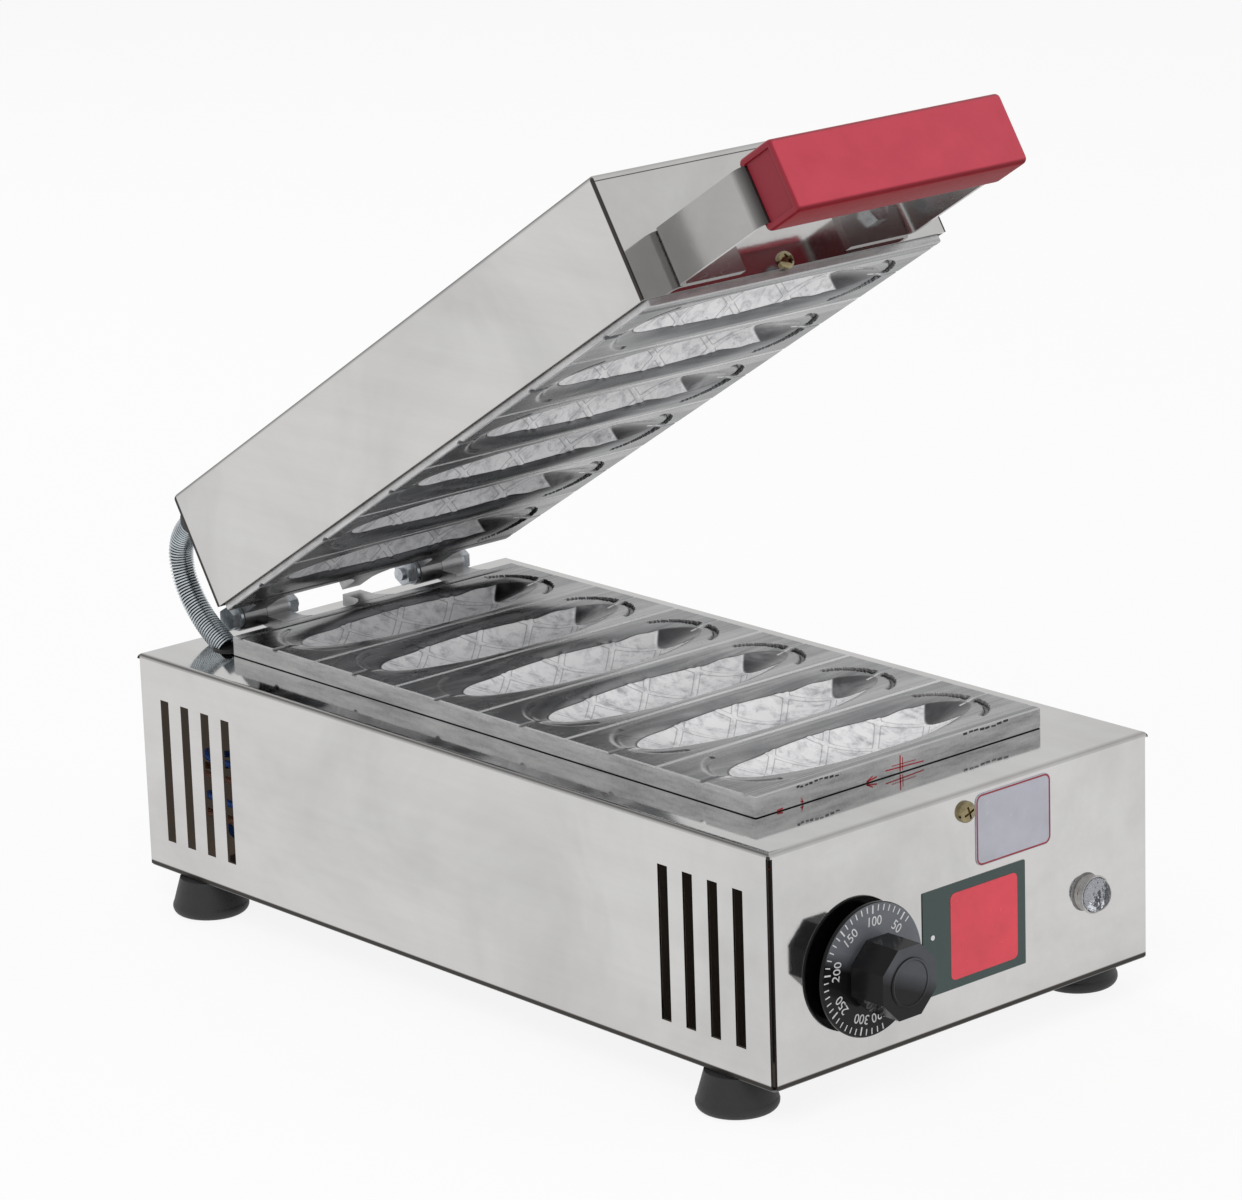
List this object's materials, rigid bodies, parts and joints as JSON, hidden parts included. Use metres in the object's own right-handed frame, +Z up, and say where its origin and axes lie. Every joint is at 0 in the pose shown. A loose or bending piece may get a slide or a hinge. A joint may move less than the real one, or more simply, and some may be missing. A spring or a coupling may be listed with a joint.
{
  "type": "stick waffle cooker",
  "caption": "Countertop cooker with a folded steel housing, a cast plate of long moulds and a hinged lid that closes a second plate over it; front dial, lamp, red grip.",
  "frame": {"origin": "middle of the bounding box at the height of the foot bottoms", "axes": "+Z up, -Y towards the dial and handle, +X to the right seen from the front"},
  "size_m": [0.2352, 0.464, 0.3918],
  "materials": {
    "stainless": "bright rolled stainless sheet with a faint grain",
    "bar_steel": "satin stainless flat bar",
    "cast_aluminium": "cast aluminium, machined faces and rough moulds",
    "plain_steel": "plain sheet steel",
    "zinc": "bright zinc plate",
    "spring_wire": "zinc-plated spring wire",
    "yellow_zinc": "yellow-passivated zinc",
    "rubber": "matt black rubber",
    "heater_sheath": "oxidised tube heater sheath",
    "red_grip": "gloss red moulded plastic",
    "black_gloss": "gloss black moulded plastic",
    "black_plastic": "black moulded plastic",
    "copper_tube": "drawn copper",
    "ceramic": "pale ceramic",
    "lens": "clear moulded lens",
    "green_label": "printed dark green panel",
    "pale_label": "pale lilac printed label",
    "blue_wire": "blue wire insulation",
    "brown_wire": "brown wire insulation",
    "grey_sleeve": "dark glass-fibre sleeve"
  },
  "bodies": {
    "base": {"base_housing": "stainless", "floor_panel": "plain_steel", "feet": "rubber", "foot_screws": "zinc", "foot_nuts": "zinc", "lower_plate": "cast_aluminium", "lower_plate_screws": "zinc", "lower_heating_rods": "heater_sheath", "lower_clamp_bars": "plain_steel", "lower_clamp_studs": "zinc", "lower_clamp_nuts": "zinc", "lower_heat_shield": "plain_steel", "hinge_bolts": "zinc", "hinge_nuts": "zinc", "hinge_washers": "zinc", "thermostat_body": "ceramic", "thermostat_screws": "zinc", "thermostat_bulb": "copper_tube", "pilot_lamp_bezel": "zinc", "pilot_lamp_lens": "lens", "pilot_lamp_body": "black_plastic", "front_screw": "yellow_zinc", "front_screw_nut": "zinc", "control_label": "green_label", "info_label": "pale_label", "terminal_block": "ceramic", "wire_blue": "blue_wire", "wire_brown": "brown_wire", "cord_gland": "black_plastic", "cord_gland_nut": "black_plastic", "conduit_elbow": "black_plastic", "conduit_elbow_nut": "zinc", "spring_conduit": "spring_wire", "lid_lead": "grey_sleeve"},
    "lid": {"upper_plate": "cast_aluminium", "upper_plate_screws": "zinc", "upper_heating_rods": "heater_sheath", "upper_clamp_bars": "plain_steel", "upper_clamp_studs": "zinc", "upper_clamp_nuts": "zinc", "upper_heat_shield": "plain_steel", "lid_cover": "stainless", "lid_bushing": "black_plastic", "lid_screw": "yellow_zinc", "handle_bracket": "bar_steel", "handle_grip": "red_grip", "grip_screws": "zinc", "bracket_bolts": "zinc", "bracket_nuts": "zinc"},
    "dial": {"thermostat_shaft": "plain_steel", "dial_disc": "black_gloss", "knob": "black_gloss"}
  },
  "joints": [
    {"name": "lid_hinge", "type": "hinge", "parent": "base", "child": "lid", "pos_m": [0, 0.196, 0.1282], "axis": [-1, 0, 0], "range_deg": [-32, 63], "deforming": ["spring_conduit", "lid_lead"]},
    {"name": "thermostat_turn", "type": "hinge", "parent": "base", "child": "dial", "pos_m": [-0.06, -0.204, 0.058], "axis": [0, 1, 0], "range_deg": [0, 270]}
  ]
}
